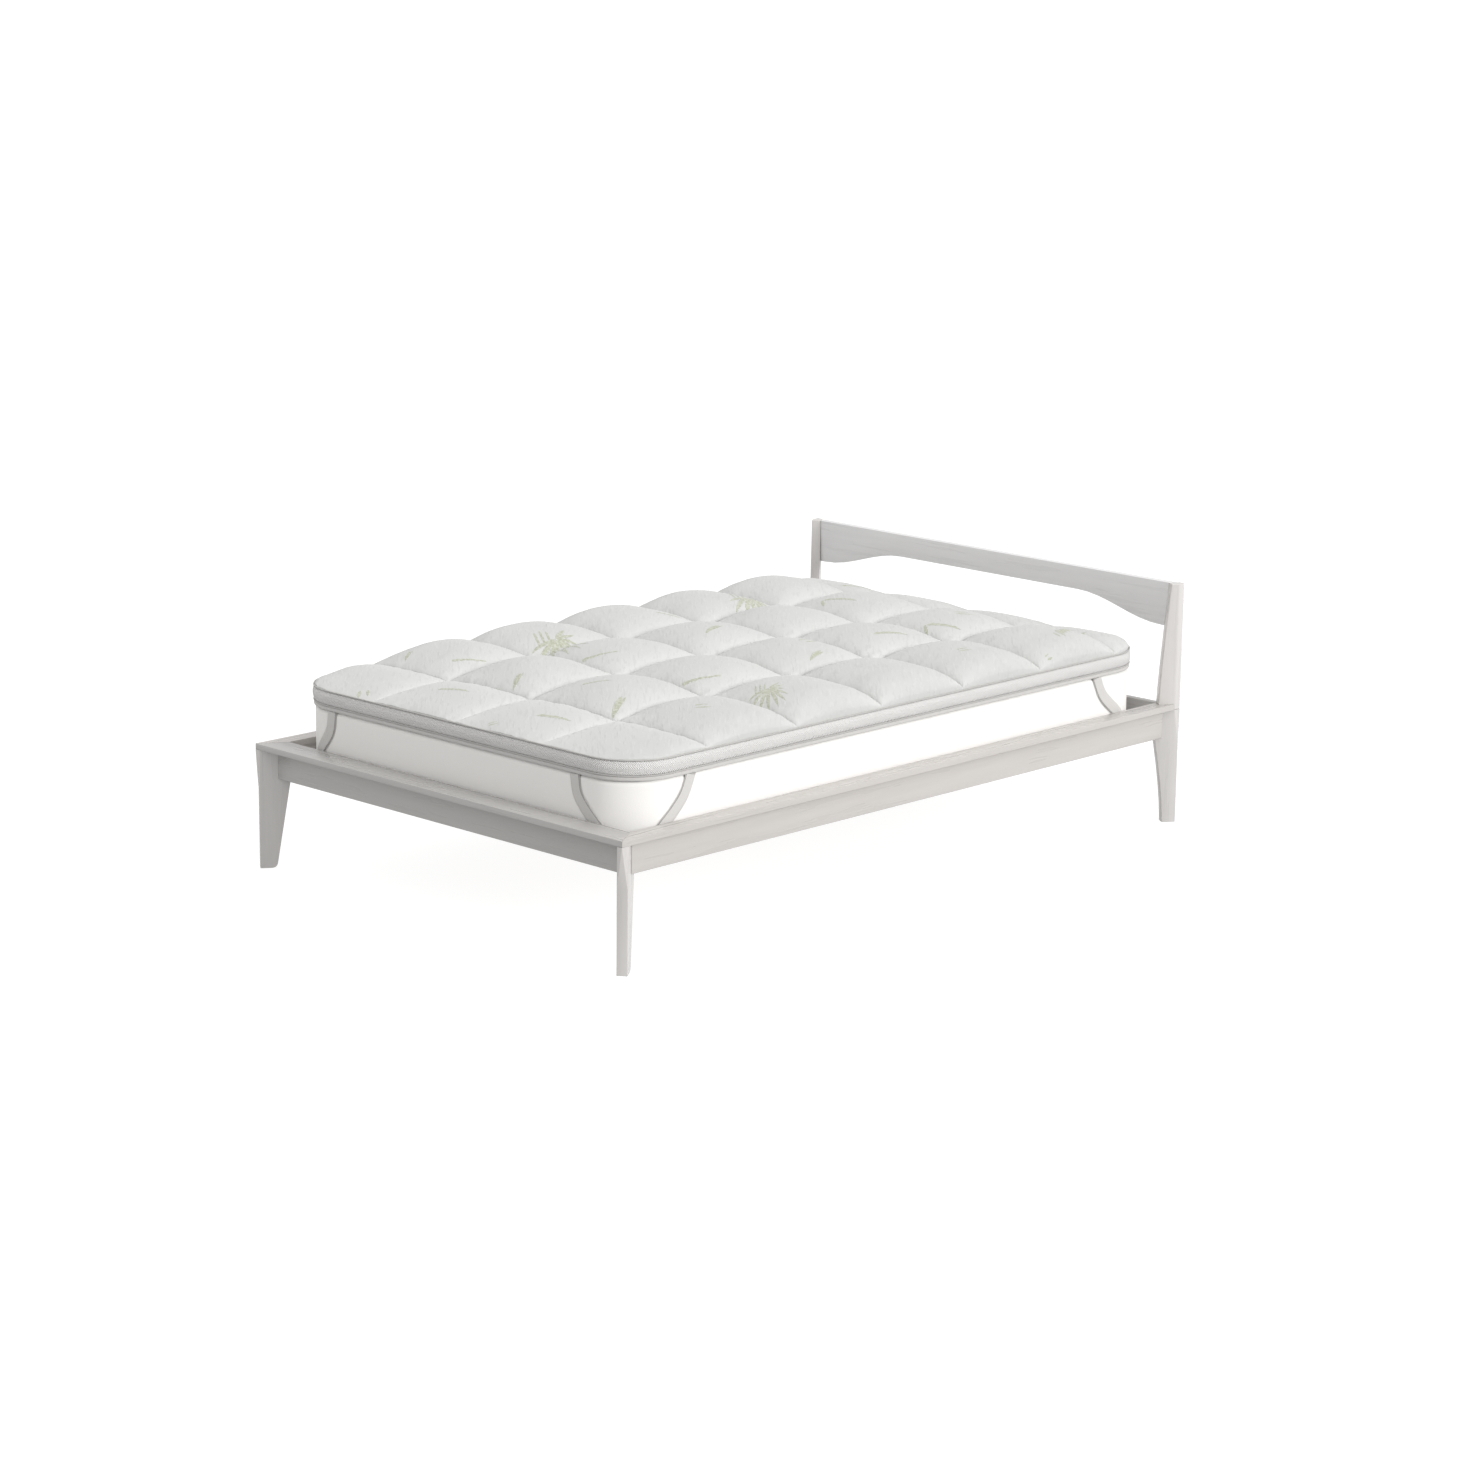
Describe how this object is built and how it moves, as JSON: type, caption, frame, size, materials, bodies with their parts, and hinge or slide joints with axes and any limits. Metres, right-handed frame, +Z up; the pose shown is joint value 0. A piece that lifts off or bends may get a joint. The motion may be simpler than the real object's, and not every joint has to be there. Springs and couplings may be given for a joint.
{
  "type": "mattress topper on mattress and bed",
  "caption": "Square-quilted filled topper with a mesh border, held by corner straps on a plain mattress in a low wooden bed.",
  "frame": {"origin": "on the floor, under the middle of the bed", "axes": "+X to the right when seen from the foot, +Y from the foot to the head, +Z up"},
  "size_m": [1.3198, 2.05, 0.64],
  "materials": {
    "knit": "soft knitted cover, matte",
    "mesh": "spacer mesh, matte",
    "plain_cloth": "plain weave, matte",
    "piping": "plain weave, matte",
    "elastic": "woven elastic, matte",
    "mattress_cover": "smooth stretch cover, matte",
    "wood": "whitewashed, satin",
    "plain_panel": "unfinished"
  },
  "bodies": {
    "root": {"topper_pad": "knit", "piping_upper": "piping", "border_band": "mesh", "piping_lower": "piping", "base_band": "plain_cloth", "strap_foot_left": "elastic", "strap_foot_right": "elastic", "strap_head_left": "elastic", "strap_head_right": "elastic", "mattress": "mattress_cover", "ledge_foot": "wood", "ledge_left": "wood", "ledge_right": "wood", "rail_foot": "wood", "rail_head": "wood", "rail_left": "wood", "rail_right": "wood", "leg_foot_left": "wood", "leg_foot_right": "wood", "leg_head_left": "wood", "leg_head_right": "wood", "post_left": "wood", "post_right": "wood", "headboard": "wood", "deck": "plain_panel", "cleat_left": "plain_panel", "cleat_right": "plain_panel"}
  },
  "joints": []
}
